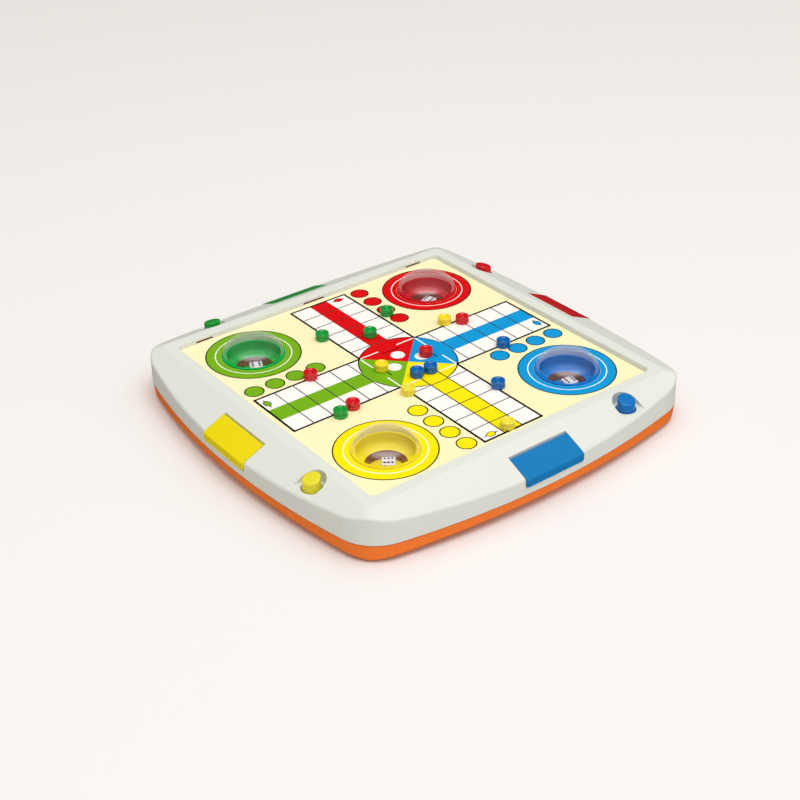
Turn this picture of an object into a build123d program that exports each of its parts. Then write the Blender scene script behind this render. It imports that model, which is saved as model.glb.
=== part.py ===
from build123d import *
import os
from math import atan, cos, sin, sqrt

# Pop up dice board game: a two-shell case with a cross-and-circle board on top, a track board
# underneath, and in each corner a clear dome over a die that a push button makes jump.
# Millimetres. +Z is up, the origin is the middle of the base. Everything of one player is
# made on the -Y side (cup at +X -Y) and turned about Z for the other three.

# ---------------------------------------------------------------- driving dimensions
case_half = 134.0  # centre to the middle of a bowed side
bow_radius = 488.0  # bow of a side, seen from above
corner_radius = 28.0
wall = 2.0
upper_draft = 1.0  # degrees
lower_draft = 6.0

ring_half = 111.0  # the flat ring at the top ends here and the slope starts
base_half = 107.9  # the same at the base
rim_height = 32.1  # flat ring round the board
seam_height = 12.0
upper_slope = 0.44  # fall per mm outwards
lower_slope = 0.24
hip_rounding = 14.0
rim_rounding = 2.5
crest_rounding = 2.0
window_rounding = 0.8
seam_groove = 0.6
tongue_height = 3.0
tongue_wall = 1.2
tongue_gap = 0.2
fit_gap = 0.2  # between the faces of the two shells inside the case

window_half = 103.2  # board recess, at its floor
window_corner = 3.0
window_draft = 12.0
board_top = 29.2
card = 0.8
card_gap = 0.2
track_depth = 2.9  # face of the track board above the base

slit_height = 2.0
slit_places = ((-84.0, 12.0), (0.0, 16.0), (84.0, 12.0))  # centre and length

cup_place = 69.0  # cup axis from both centre lines
cup_inside = 17.2
cup_wall = 1.5
cup_floor = 20.5
flange_radius = 20.0
flange_top = 30.2
cup_gap = 0.2
cup_rounding = 2.0
flange_rounding = 0.5
edge_rounding = 0.3

dome_radius = 18.9
dome_top = 43.0
dome_wall = 1.2
skirt_depth = 0.9

striker_radius = 12.0
striker_gap = 0.3
striker_lip = 0.4  # wall of the striker's dish at its rim
striker_wall = 1.2
striker_foot = 9.6
collar_foot = 13.4
boss_foot = 9.3
striker_boss = 3.0
pad_height = 15.5
pad_radius = 10.8
pad_thickness = 0.8

die_size = 8.2
die_gap = 0.1  # above the strike pad
die_rounding = 1.0
pip_radius = 1.0
pip_depth = 0.3
pip_pitch = 2.2
die_yaws = (53.0, 82.0, 20.0, 65.0)  # yellow, blue, red, green
die_offset = (3.4, -0.8)  # where each die came to rest, from the cup axis

button_place = 119.2  # button axis from the centre line of the case
button_radius = 5.25
button_top = 31.7
button_stem = 3.0
button_foot = 16.1
flange_foot = 21.4
hole_gap = 0.85
notch_radius = 8.4
notch_floor = 25.2
guide_length = 6.0
key_width = 2.0
key_length = 8.2
button_flange = 7.0
flange_wall = 1.5
button_rounding = 0.6
guide_gap = 0.3

pivot_place = 100.0
pivot_height = 9.0
trunnion_radius = 1.5
trunnion_gap = 0.05
lever_gap = 0.2
hub_radius = 2.6
lever_width = 6.0
arm_depth = 2.4
inner_reach = 32.2  # lever tip from the pivot, under the striker
inner_level = 20.0  # the inner arm is level from here to its tip
outer_reach = 22.0
outer_level = 14.0
saddle = 3.0  # half of the lever's thick middle
button_bump = 1.6
bump_rise = 1.2  # above the outer arm
ear_gap = 9.0
ear_wall = 2.5
ear_top = 11.5
ear_length = 8.0
rib_wall = 1.5
ring_depth = 4.0
embed = 0.5  # a rib or wall starts this deep in what carries it

spring_seat = 5.9
spring_top = 12.4
seat_rim = 1.6
stub_gap = 0.7
stub_height = 1.2
spring_radius = 2.6
spring_wire = 0.45
spring_turns = 3.5

lid_half = 21.3
lid_hinge = 119.9  # hinge axis from the centre of the case
lid_front = 134.4
lid_wall = 1.5
lid_proud = 0.15
lid_gap = 0.3
lip_foot = 17.0
barrel_radius = 1.5
lid_pin_radius = 0.8
lid_pin_gap = 0.08
lid_pin_length = 2.2
bearing_reach = 2.5  # outside the hinge axis
bearing_height = 6.0
pocket_half = 19.5
pocket_front = 130.8
pocket_floor = 14.5
pocket_wall = 1.5
scoop_radius = 12.0
scoop_depth = 0.9
scoop_height = 17.2
lip_corner = 1.5
lid_rounding = 0.4

screw_corner = 109.5
screw_side = 112.0
boss_radius = 3.6
lower_boss_radius = 4.2
screw_head = 3.0
head_height = 1.9
drive_length = 3.4
drive_width = 0.7
screw_shank = 1.3
point_radius = 0.3
screw_seat = 4.6
screw_hole_gap = 0.3
screw_tip = 18.5
thread_gap = 0.05
pillar_radius = 4.0
pillar_places = ((0, 0), (50, 0), (-50, 0), (0, 50), (0, -50))

token_radius = 4.3
token_height = 5.0
waist_low = 2.1
waist_high = 2.7
waist_depth = 0.5
token_rim = 1.0
token_dish = 0.6
token_eye = 1.4
token_gap = 0.1  # above the board

player_names = ("yellow", "blue", "red", "green")
player_turns = (0.0, 90.0, 180.0, 270.0)
token_places = {
    "yellow": ((-24.0, 48.2), (-2.4, -18.6), (29.9, -23.0), (95.1, -1.8)),
    "blue": ((22.6, 57.9), (58.0, 23.1), (18.1, 3.3), (16.9, -6.3)),
    "red": ((-17.9, 58.0), (0.6, 13.5), (-21.7, -57.9), (22.0, -57.7)),
    "green": ((-57.5, 26.8), (-41.2, 1.2), (-57.0, -24.9), (24.9, -68.6)),
}

# ---------------------------------------------------------------- worked out from them
panel_top = board_top - card
panel_bottom = panel_top - wall
frame_half = window_half + wall
track_panel_bottom = track_depth + card
track_panel_top = track_panel_bottom + wall
cup_outside = cup_inside + cup_wall
cup_underside = cup_floor - cup_wall
reach = 150.0  # past the edge of the case
upright = (Align.CENTER, Align.CENTER, Align.MIN)
hanging = (Align.CENTER, Align.CENTER, Align.MAX)
outwards = (Align.CENTER, Align.MAX)
tilt = atan(upper_slope)
hinge_skin = rim_height - upper_slope * (lid_hinge - ring_half) + lid_proud
hinge_height = hinge_skin - barrel_radius / cos(tilt)  # the barrel touches the lid's top face
recess_start = lid_hinge - barrel_radius - lid_gap
lip_seat = lid_front - lid_wall - lid_gap
bore = striker_radius + striker_gap
lower_wall_top = seam_height - seam_groove
ear_middle = (ear_gap + ear_wall) / 2
bearing_half = lid_half + lid_gap + lid_pin_length + pocket_wall
arm_top = spring_top + arm_depth
screw_places = ((screw_corner, -screw_corner), (0, -screw_side))
cup_plane = Plane(origin=(cup_place, -cup_place, 0), x_dir=(1, 0, 0), z_dir=(0, -1, 0))
cup_axis = Axis((cup_place, -cup_place, 0), (0, 0, 1))

os.makedirs("parts", exist_ok=True)


def slope_height(distance):
    """Height of the sloping top, this far out from the centre line."""
    return rim_height - upper_slope * (distance - ring_half)


def save(part, name):
    """Label a finished piece and write it."""
    part.label = name
    export_step(part, f"parts/{name}.step")


def save_for_players(part, name):
    """Write one copy of a piece for each player, turned about the middle of the case."""
    for player, turn in zip(player_names, player_turns):
        save(part.rotate(Axis.Z, turn), f"{player}_{name}")


def circles_of(builder, radius):
    """The round edges of this radius, from the lowest to the highest."""
    circles = builder.edges().filter_by(GeomType.CIRCLE)
    return circles.filter_by(lambda edge: abs(edge.radius - radius) < 0.01).sort_by(Axis.Z)


def case_form(inset, low, high, ridge, fall, taper):
    """The bowed case outline moved in by inset, between low and high, with a four-sided hip.

    The hip is flat at the height ridge and falls by fall per mm outwards; where fall is
    negative the form stands on its head.
    """
    centre = bow_radius - case_half
    start, amount = (low, high - low) if fall > 0 else (high, low - high)
    flat_half = ring_half if fall > 0 else base_half
    eaves = ridge - fall * (reach - flat_half)
    with BuildPart() as form:
        with BuildSketch(Plane.XY.offset(start)) as outline:
            with Locations((-centre, 0)):
                Circle(bow_radius - inset)
            for place in ((centre, 0), (0, -centre), (0, centre)):
                with Locations(place):
                    Circle(bow_radius - inset, mode=Mode.INTERSECT)
            fillet(outline.vertices(), corner_radius - inset)
        extrude(amount=amount, taper=taper)
        for plane in (Plane.XZ, Plane.YZ):
            with BuildSketch(plane):
                with BuildLine():
                    Polyline(
                        (-reach, start),
                        (-reach, eaves),
                        (-flat_half, ridge),
                        (flat_half, ridge),
                        (reach, eaves),
                        (reach, start),
                        close=True,
                    )
                make_face()
            extrude(amount=reach, both=True, mode=Mode.INTERSECT)
    return form.part


def case_ring(outer_inset, inner_inset, low, high):
    """An upright band that follows the bowed outline, between two insets."""
    with BuildPart() as ring:
        add(case_form(outer_inset, low, high, reach, upper_slope, 0))
        add(case_form(inner_inset, low, high, reach, upper_slope, 0), mode=Mode.SUBTRACT)
    return ring.part


# ---------------------------------------------------------------- details of one side
# Button notch: a U-shaped scoop with a level floor, open towards the edge of the case, and
# under it a guide tube with a keyway for the button's flange.
with BuildPart() as notch_body:
    with BuildSketch(Plane.XY.offset(notch_floor - wall)):
        with Locations((cup_place, -button_place)):
            Circle(notch_radius + wall)
            Rectangle(2 * (notch_radius + wall), reach, align=outwards)
    extrude(amount=rim_height - notch_floor)
    with BuildSketch(Plane.XY.offset(notch_floor - wall)):
        with Locations((cup_place, -button_place)):
            Circle(button_flange + guide_gap + wall)
    extrude(amount=-guide_length)

with BuildPart() as notch_cut:
    with BuildSketch(Plane.XY.offset(notch_floor)):
        with Locations((cup_place, -button_place)):
            Circle(notch_radius)
            Rectangle(2 * notch_radius, reach, align=outwards)
    extrude(amount=rim_height)
    with BuildSketch(Plane.XY.offset(notch_floor + wall)):
        with Locations((cup_place, -button_place)):
            Circle(button_radius + hole_gap)
    extrude(amount=-3 * wall)
    with BuildSketch(Plane.XY.offset(notch_floor - wall)):
        with Locations((cup_place, -button_place)):
            Circle(button_flange + guide_gap)
            Rectangle(
                key_width + 2 * guide_gap, key_length + guide_gap, align=(Align.CENTER, Align.MIN)
            )
    extrude(amount=-guide_length - wall)

# Token pocket under a lid: a box in the frame, with a bearing block at each end of the hinge.
with BuildPart() as pocket_body:
    with BuildSketch(Plane.XY.offset(pocket_floor - pocket_wall)):
        with Locations((0, -recess_start + pocket_wall)):
            Rectangle(2 * (pocket_half + pocket_wall), reach, align=outwards)
    extrude(amount=rim_height - pocket_floor)
    with BuildSketch(Plane.XY.offset(hinge_height - bearing_reach)):
        with Locations((0, -lid_hinge)):
            Rectangle(2 * bearing_half, 2 * bearing_reach)
    extrude(amount=bearing_height)

lid_seat = lid_proud - lid_wall - lid_gap
barrel_seat = hinge_height - barrel_radius - lid_gap
with BuildPart() as pocket_cut:
    with BuildSketch(Plane.XY.offset(pocket_floor)):
        with Locations((0, -recess_start)):
            Rectangle(2 * pocket_half, pocket_front - recess_start, align=outwards)
    extrude(amount=rim_height)
    with BuildSketch(Plane.YZ):
        with BuildLine():
            Polyline(
                (-recess_start, barrel_seat),
                (-recess_start, reach),
                (-reach, reach),
                (-reach, lip_foot - lid_gap),
                (-lip_seat, lip_foot - lid_gap),
                (-lip_seat, slope_height(lip_seat) + lid_seat),
                (-lid_hinge - bearing_reach, slope_height(lid_hinge + bearing_reach) + lid_seat),
                (-lid_hinge - bearing_reach, barrel_seat),
                close=True,
            )
        make_face()
    extrude(amount=lid_half + lid_gap, both=True)
    with BuildSketch(Plane.YZ):
        with Locations((-lid_hinge, hinge_height)):
            Circle(lid_pin_radius + lid_pin_gap)
    extrude(amount=lid_half + 2 * lid_gap + lid_pin_length, both=True)
    with Locations((0, -case_half - scoop_radius + scoop_depth, scoop_height)):
        Sphere(scoop_radius)

# Bearing of a lever: two ears with open slots on the lower shell, and two ribs under the upper
# shell that close the slots.
ear_spots = ((cup_place - ear_middle, -pivot_place), (cup_place + ear_middle, -pivot_place))
with BuildPart() as lever_ears:
    with BuildSketch(Plane.XY.offset(track_panel_top - embed)):
        with Locations(ear_spots):
            Rectangle(ear_wall, ear_length)
    extrude(amount=ear_top - track_panel_top + embed)
    with BuildSketch(Plane.YZ.offset(cup_place)):
        with Locations((-pivot_place, pivot_height)):
            Circle(trunnion_radius + trunnion_gap)
            Rectangle(2 * (trunnion_radius + trunnion_gap), ear_top, align=(Align.CENTER, Align.MIN))
    extrude(amount=ear_gap + ear_wall, both=True, mode=Mode.SUBTRACT)

with BuildPart() as hold_down_ribs:
    with BuildSketch(Plane.XY.offset(panel_bottom + embed)):
        with Locations(ear_spots):
            Rectangle(rib_wall, ear_length)
    extrude(amount=ear_top + fit_gap - panel_bottom - embed)
    with BuildSketch(Plane.XY.offset(ear_top + wall)):
        with Locations(ear_spots):
            Rectangle(rib_wall, 2 * (trunnion_radius - fit_gap))
    extrude(amount=pivot_height + trunnion_radius + fit_gap - ear_top - wall)

# Screw bosses and spring seats of the lower shell, which follow its sloping floor.
with BuildPart() as floor_stands:
    for x, y in screw_places:
        with PolarLocations(0, 4):
            with Locations((x, y, 0)):
                Cylinder(lower_boss_radius, seam_height, align=upright)
    with PolarLocations(0, 4):
        with Locations((cup_place, -button_place, 0)):
            Cylinder(spring_radius + seat_rim, spring_seat, align=upright)
            Cylinder(spring_radius - stub_gap, spring_seat + stub_height, align=upright)
    add(
        case_form(2 * wall, 0, rim_height, wall / 2, -lower_slope, 0),
        mode=Mode.INTERSECT,
    )

# ---------------------------------------------------------------- upper shell
with BuildPart() as upper_form:
    add(case_form(0, seam_height, rim_height, rim_height, upper_slope, upper_draft))
    straight = upper_form.edges().filter_by(GeomType.LINE)
    hips = straight.filter_by(lambda edge: abs(abs(edge.center().X) - abs(edge.center().Y)) < 0.1)
    fillet(hips, hip_rounding)
    fillet(upper_form.edges().group_by(Axis.Z)[-1], rim_rounding)
    crest = upper_form.edges().filter_by(
        lambda edge: seam_height + wall < edge.center().Z < slope_height(case_half) + wall
        and edge.bounding_box().size.Z < edge.length / 2
    )
    fillet(crest, crest_rounding)

upper_hollow = case_form(
    wall, seam_height - wall, rim_height, rim_height - wall, upper_slope, upper_draft
)

with BuildPart() as top_shell:
    add(upper_form.part)
    add(upper_hollow, mode=Mode.SUBTRACT)
    with BuildSketch(Plane.XY.offset(panel_bottom)):
        Rectangle(2 * frame_half, 2 * frame_half)
    extrude(amount=rim_height - panel_bottom - embed)
    with PolarLocations(0, 4):
        add(notch_body.part)
        add(pocket_body.part)
    for x, y in screw_places:
        with PolarLocations(0, 4):
            with Locations((x, y, seam_height + fit_gap)):
                Cylinder(boss_radius, rim_height, align=upright)
    add(upper_form.part, mode=Mode.INTERSECT)
    with PolarLocations(0, 4):
        add(hold_down_ribs.part)
        with Locations((cup_place, -cup_place, panel_bottom + embed)):
            Cylinder(cup_outside + cup_gap + pocket_wall, ring_depth + embed, align=hanging)
    with PolarLocations(0, 4):
        add(notch_cut.part, mode=Mode.SUBTRACT)
        add(pocket_cut.part, mode=Mode.SUBTRACT)
        with Locations((cup_place, -cup_place, 0)):
            Cylinder(cup_outside + cup_gap, 2 * rim_height, mode=Mode.SUBTRACT)
    for x, y in screw_places:
        with PolarLocations(0, 4):
            with Locations((x, y, 0)):
                Cylinder(screw_shank + thread_gap, 2 * (screw_tip + wall), mode=Mode.SUBTRACT)
    with BuildSketch(Plane.XY.offset(panel_top)):
        RectangleRounded(2 * window_half, 2 * window_half, window_corner)
    extrude(amount=rim_height - panel_top, taper=-window_draft, mode=Mode.SUBTRACT)
    window_edges = top_shell.edges().filter_by(
        lambda edge: abs(edge.center().Z - rim_height) < 0.01
        and max(abs(edge.center().X), abs(edge.center().Y)) < frame_half
    )
    fillet(window_edges, window_rounding)
    for side in (-1, 1):
        for place, length in slit_places:
            with Locations((side * window_half, place, panel_top)):
                Box(4 * wall, length, slit_height, align=upright, mode=Mode.SUBTRACT)
save(top_shell.part, "top_shell")

# ---------------------------------------------------------------- lower shell
tongue_inset = wall + tongue_gap
tongue_inside = tongue_inset + tongue_wall
with BuildPart() as bottom_shell:
    add(case_form(0, 0, lower_wall_top, 0, -lower_slope, lower_draft))
    add(
        case_form(wall, 0, lower_wall_top + wall, wall, -lower_slope, lower_draft),
        mode=Mode.SUBTRACT,
    )
    add(case_ring(wall - embed, tongue_inside, lower_wall_top - tongue_height, lower_wall_top))
    add(case_ring(tongue_inset, tongue_inside, lower_wall_top, seam_height + tongue_height))
    with PolarLocations(0, 4):
        with Locations((0, -recess_start + wall, pocket_floor - pocket_wall - fit_gap)):
            Box(
                2 * (bearing_half + fit_gap),
                reach,
                reach,
                align=(Align.CENTER, Align.MAX, Align.MIN),
                mode=Mode.SUBTRACT,
            )
    with BuildSketch(Plane.XY.offset(wall / 2)):
        Rectangle(2 * frame_half, 2 * frame_half)
    extrude(amount=track_panel_top - wall / 2)
    add(floor_stands.part)
    with PolarLocations(0, 4):
        add(lever_ears.part)
    for x, y in screw_places:
        with PolarLocations(0, 4):
            with Locations((x, y, 0)):
                Cylinder(screw_head + screw_hole_gap, 2 * screw_seat, mode=Mode.SUBTRACT)
                Cylinder(screw_shank + screw_hole_gap, 3 * seam_height, mode=Mode.SUBTRACT)
    with Locations([(x, y, track_panel_top) for x, y in pillar_places]):
        Cylinder(pillar_radius, panel_bottom - fit_gap - track_panel_top, align=upright)
        Cylinder(pillar_radius - pocket_wall, rim_height, align=upright, mode=Mode.SUBTRACT)
    with BuildSketch(Plane.XY.offset(track_panel_bottom)):
        RectangleRounded(2 * window_half, 2 * window_half, window_corner)
    extrude(amount=-track_panel_bottom - wall, taper=-window_draft, mode=Mode.SUBTRACT)
save(bottom_shell.part, "bottom_shell")

with BuildPart() as case_screws:
    for x, y in screw_places:
        with PolarLocations(0, 4):
            with Locations((x, y, screw_seat)):
                Cylinder(screw_head, head_height, align=hanging)
                Cylinder(screw_shank, screw_tip - screw_seat, align=upright)
            with Locations((x, y, screw_tip)):
                Cone(screw_shank, point_radius, screw_shank - point_radius, align=upright)
            with Locations((x, y, screw_seat - head_height)):
                Box(drive_length, drive_width, head_height, mode=Mode.SUBTRACT)
                Box(drive_width, drive_length, head_height, mode=Mode.SUBTRACT)
save(case_screws.part, "case_screws")

# ---------------------------------------------------------------- boards
card_half = window_half - card_gap
with BuildPart() as parchis_board:
    with BuildSketch(Plane.XY.offset(panel_top)) as sheet:
        RectangleRounded(2 * card_half, 2 * card_half, window_corner)
        for side in (-1, 1):
            for place, length in slit_places:
                with Locations((side * card_half, place)):
                    Rectangle(2 * wall, length - 4 * card_gap)
        with GridLocations(2 * cup_place, 2 * cup_place, 2, 2):
            Circle(flange_radius + card_gap, mode=Mode.SUBTRACT)
    extrude(amount=card)
save(parchis_board.part, "parchis_board")

with BuildPart() as track_board:
    with BuildSketch(Plane.XY.offset(track_depth)):
        RectangleRounded(2 * card_half, 2 * card_half, window_corner)
    extrude(amount=card)
save(track_board.part, "track_board")

# ---------------------------------------------------------------- cup, dome, striker and pad
with BuildPart() as cup:
    with BuildSketch(cup_plane):
        with BuildLine():
            Polyline(
                (bore, collar_foot),
                (bore + cup_wall, collar_foot),
                (bore + cup_wall, cup_underside),
                (cup_outside, cup_underside),
                (cup_outside, panel_top),
                (flange_radius, panel_top),
                (flange_radius, flange_top),
                (dome_radius + cup_gap, flange_top),
                (dome_radius + cup_gap, flange_top - skirt_depth),
                (cup_inside, flange_top - skirt_depth),
                (cup_inside, cup_floor),
                (bore, cup_floor),
                close=True,
            )
        make_face()
    revolve(axis=cup_axis)
    fillet(circles_of(cup, cup_inside)[0], cup_rounding)
    fillet(circles_of(cup, cup_outside)[0], cup_rounding - edge_rounding)
    fillet(circles_of(cup, flange_radius)[-1], flange_rounding)
save_for_players(cup.part, "cup")

dome_rise = dome_top - flange_top
ball_radius = (dome_radius**2 + dome_rise**2) / (2 * dome_rise)
ball_inside = ball_radius - dome_wall
skirt_inside = sqrt(ball_inside**2 - (ball_radius - dome_rise) ** 2)
with BuildPart() as dome:
    with BuildSketch(cup_plane):
        with Locations((0, dome_top - ball_radius)):
            Circle(ball_radius)
            Circle(ball_inside, mode=Mode.SUBTRACT)
        with Locations((0, flange_top)):
            Rectangle(reach, reach, align=(Align.MIN, Align.MIN), mode=Mode.INTERSECT)
        with Locations((skirt_inside, flange_top)):
            Rectangle(dome_radius - skirt_inside, skirt_depth, align=(Align.MIN, Align.MAX))
    revolve(axis=cup_axis)
save_for_players(dome.part, "dome")

dish_floor = pad_height - pad_thickness
with BuildPart() as striker:
    with BuildSketch(cup_plane):
        with BuildLine():
            Polyline(
                (0, boss_foot),
                (striker_boss, boss_foot),
                (striker_boss, dish_floor - striker_wall),
                (pad_radius, dish_floor - striker_wall),
                (pad_radius, striker_foot),
                (striker_radius, striker_foot),
                (striker_radius, cup_floor),
                (striker_radius - striker_lip, cup_floor),
                (pad_radius, pad_height),
                (pad_radius, dish_floor),
                (0, dish_floor),
                close=True,
            )
        make_face()
    revolve(axis=cup_axis)
save_for_players(striker.part, "striker")

with BuildPart() as strike_pad:
    with Locations((cup_place, -cup_place, pad_height)):
        Cylinder(pad_radius, pad_thickness, align=hanging)
save_for_players(strike_pad.part, "strike_pad")

# ---------------------------------------------------------------- die
pip_spots = {
    1: ((0, 0),),
    2: ((-1, -1), (1, 1)),
    3: ((-1, -1), (0, 0), (1, 1)),
    4: ((-1, -1), (-1, 1), (1, -1), (1, 1)),
    5: ((-1, -1), (-1, 1), (0, 0), (1, -1), (1, 1)),
    6: ((-1, -1), (-1, 1), (0, -1), (0, 1), (1, -1), (1, 1)),
}
die_faces = {
    6: Plane.XY,
    1: Plane.XY.rotated((180, 0, 0)),
    2: Plane.XZ,
    5: Plane.XZ.rotated((0, 0, 180)),
    3: Plane.YZ,
    4: Plane.YZ.rotated((0, 0, 180)),
}
with BuildPart() as die:
    Box(die_size, die_size, die_size)
    fillet(die.edges(), die_rounding)
    for number, face in die_faces.items():
        with Locations(face.offset(die_size / 2 + pip_radius - pip_depth)):
            with Locations([(pip_pitch * x, pip_pitch * y) for x, y in pip_spots[number]]):
                Sphere(pip_radius, mode=Mode.SUBTRACT)
die_height = pad_height + die_gap + die_size / 2
for player, turn, yaw in zip(player_names, player_turns, die_yaws):
    cup_point = Vector(cup_place, -cup_place, die_height).rotate(Axis.Z, turn)
    save(Location(cup_point + Vector(*die_offset), (0, 0, yaw)) * die.part, f"{player}_die")

# ---------------------------------------------------------------- button, spring and lever
with BuildPart() as button:
    for radius, low, high in (
        (button_stem, button_foot, notch_floor),
        (button_flange, flange_foot, flange_foot + flange_wall),
        (button_radius, flange_foot, button_top + button_radius),
    ):
        with Locations((cup_place, -button_place, low)):
            Cylinder(radius, high - low, align=upright)
    with Locations((cup_place, -button_place, flange_foot)):
        Box(key_width, key_length, flange_wall, align=(Align.CENTER, Align.MIN, Align.MIN))
    slant = Plane(
        origin=(cup_place, -button_place, button_top), z_dir=(0, -upper_slope, 1), x_dir=(1, 0, 0)
    )
    split(bisect_by=slant, keep=Keep.BOTTOM)
    fillet(button.edges().sort_by(Axis.Z)[-1], button_rounding)
save_for_players(button.part, "button")

with BuildPart() as spring:
    coil_height = spring_top - spring_seat - 2 * spring_wire
    with BuildLine(Plane.XY) as coil:
        Helix(
            pitch=coil_height / spring_turns,
            height=coil_height,
            radius=spring_radius - spring_wire / 2,
            center=(cup_place, -button_place, spring_seat + spring_wire),
        )
    with BuildSketch(Plane(origin=coil.line @ 0, z_dir=coil.line % 0)):
        Circle(spring_wire / 2)
    sweep(path=coil.line)
save_for_players(spring.part, "spring")

tip_y = -pivot_place + inner_reach
tail_y = -pivot_place - outer_reach
with BuildPart() as lever:
    with BuildSketch(Plane.YZ.offset(cup_place)):
        with BuildLine():
            Polyline(
                (tip_y, pivot_height - arm_depth),
                (tip_y, pivot_height),
                (-pivot_place + inner_level, pivot_height),
                (-pivot_place + saddle, pivot_height + hub_radius),
                (-pivot_place - saddle, pivot_height + hub_radius),
                (-pivot_place - outer_level, arm_top),
                (tail_y, arm_top),
                (tail_y, spring_top),
                (-pivot_place - outer_level, spring_top),
                (-pivot_place - saddle, pivot_height - arm_depth),
                close=True,
            )
        make_face()
        with Locations((-button_place, arm_top + bump_rise - button_bump)):
            Circle(button_bump)
    extrude(amount=lever_width / 2, both=True)
    with BuildSketch(Plane.YZ.offset(cup_place)):
        with Locations((-pivot_place, pivot_height)):
            Circle(hub_radius)
    extrude(amount=ear_gap / 2 - lever_gap, both=True)
    with BuildSketch(Plane.YZ.offset(cup_place)):
        with Locations((-pivot_place, pivot_height)):
            Circle(trunnion_radius)
    extrude(amount=ear_gap / 2 + ear_wall - lever_gap, both=True)
    fillet(lever.edges().filter_by(Axis.X).sort_by(Axis.Y)[-2:], arm_depth / 2 - lever_gap)
save_for_players(lever.part, "lever")

# ---------------------------------------------------------------- lid
with BuildPart() as lid:
    with BuildSketch(Plane.YZ):
        with BuildLine():
            Polyline(
                (-lid_hinge - barrel_radius * sin(tilt), hinge_height + barrel_radius * cos(tilt)),
                (-lid_front, slope_height(lid_front) + lid_proud),
                (-lid_front, lip_foot),
                (-lid_front + lid_wall, lip_foot),
                (-lid_front + lid_wall, slope_height(lid_front - lid_wall) + lid_proud - lid_wall),
                (-lid_hinge, slope_height(lid_hinge) + lid_proud - lid_wall),
                close=True,
            )
        make_face()
        with Locations((-lid_hinge, hinge_height)):
            Circle(barrel_radius)
    extrude(amount=lid_half, both=True)
    fillet(lid.edges().filter_by(Axis.Y).group_by(Axis.Z)[0], lip_corner)
    fillet(lid.edges().filter_by(Axis.X).sort_by(Axis.Y)[0:2], lid_rounding)
    with BuildSketch(Plane.YZ):
        with Locations((-lid_hinge, hinge_height)):
            Circle(lid_pin_radius)
    extrude(amount=lid_half + lid_pin_length, both=True)
save_for_players(lid.part, "lid")

# ---------------------------------------------------------------- tokens
with BuildPart() as token:
    with BuildSketch(Plane.XZ):
        with BuildLine():
            Polyline(
                (0, 0),
                (token_radius, 0),
                (token_radius, waist_low),
                (token_radius - waist_depth, waist_low),
                (token_radius - waist_depth, waist_high),
                (token_radius, waist_high),
                (token_radius, token_height),
                (token_radius - token_rim, token_height),
                (token_radius - token_rim - token_dish / 2, token_height - token_dish),
                (token_eye + token_dish / 2, token_height - token_dish),
                (token_eye, token_height - token_dish / 2),
                (token_eye / 2, token_height - token_dish / 2),
                (token_eye / 2, token_height - token_dish),
                (0, token_height - token_dish),
                close=True,
            )
        make_face()
    revolve(axis=Axis.Z)
    fillet(circles_of(token, token_radius), edge_rounding)
for player, places in token_places.items():
    for number, (x, y) in enumerate(places, start=1):
        save(Pos(x, y, board_top + token_gap) * token.part, f"{player}_token_{number}")
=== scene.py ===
import logging
import math
from dataclasses import dataclass
from enum import Enum

import bmesh
import bpy
import numpy as np
from mathutils import Matrix, Vector


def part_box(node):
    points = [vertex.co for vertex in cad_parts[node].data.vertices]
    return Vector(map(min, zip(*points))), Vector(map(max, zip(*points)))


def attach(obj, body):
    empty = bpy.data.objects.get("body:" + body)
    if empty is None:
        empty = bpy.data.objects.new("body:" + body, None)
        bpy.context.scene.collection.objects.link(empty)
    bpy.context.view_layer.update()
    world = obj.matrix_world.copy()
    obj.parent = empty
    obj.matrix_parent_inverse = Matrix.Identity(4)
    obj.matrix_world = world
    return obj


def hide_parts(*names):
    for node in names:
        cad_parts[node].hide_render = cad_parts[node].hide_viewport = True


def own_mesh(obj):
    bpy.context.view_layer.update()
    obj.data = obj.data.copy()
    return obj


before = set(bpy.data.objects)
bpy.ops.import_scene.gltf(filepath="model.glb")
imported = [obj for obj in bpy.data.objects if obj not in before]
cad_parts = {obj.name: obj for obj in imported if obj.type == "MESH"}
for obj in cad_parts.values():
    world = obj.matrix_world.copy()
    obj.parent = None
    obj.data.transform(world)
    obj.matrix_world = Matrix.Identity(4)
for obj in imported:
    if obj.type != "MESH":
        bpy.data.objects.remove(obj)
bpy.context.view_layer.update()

MM = 0.001
TINY = 1e-9
WHITE_LIGHT = (1.0, 1.0, 1.0, 1.0)
NOISE_SPAN = {"From_Min": 0.3, "From_Max": 0.7}  # nearly all of a noise texture's values
LOG = logging.getLogger("popup_board_game")


# ------------------------------------------------------------------ shapes
@dataclass
class Shape:
    """Points in millimetres, the faces between them, and one paint number for each face."""

    points: np.ndarray
    faces: list
    paint: list

    def moved(self, x: float = 0.0, y: float = 0.0, z: float = 0.0) -> "Shape":
        """The shape, shifted by x, y and z."""
        return Shape(self.points + (x, y, z), self.faces, self.paint)

    def turned(self, degrees: float) -> "Shape":
        """The shape, turned about the upright axis through the origin.

        Args:
            degrees: anticlockwise turn, seen from above.

        Returns:
            The turned shape: a point (x, y) goes to (x cos a - y sin a, x sin a + y cos a).
        """
        angle = math.radians(degrees)
        turn = np.array([[math.cos(angle), math.sin(angle)], [-math.sin(angle), math.cos(angle)]])
        points = self.points.copy()
        points[:, :2] = points[:, :2] @ turn
        return Shape(points, self.faces, self.paint)


def joined(shapes: list[Shape]) -> Shape:
    """Several shapes as one.

    Args:
        shapes: the shapes, which keep their points apart.

    Returns:
        One shape, in the order of the list.
    """
    faces, paint, start = [], [], 0
    for shape in shapes:
        faces += [[start + corner for corner in face] for face in shape.faces]
        paint += list(shape.paint)
        start += len(shape.points)
    return Shape(np.vstack([shape.points for shape in shapes]), faces, paint)


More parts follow.
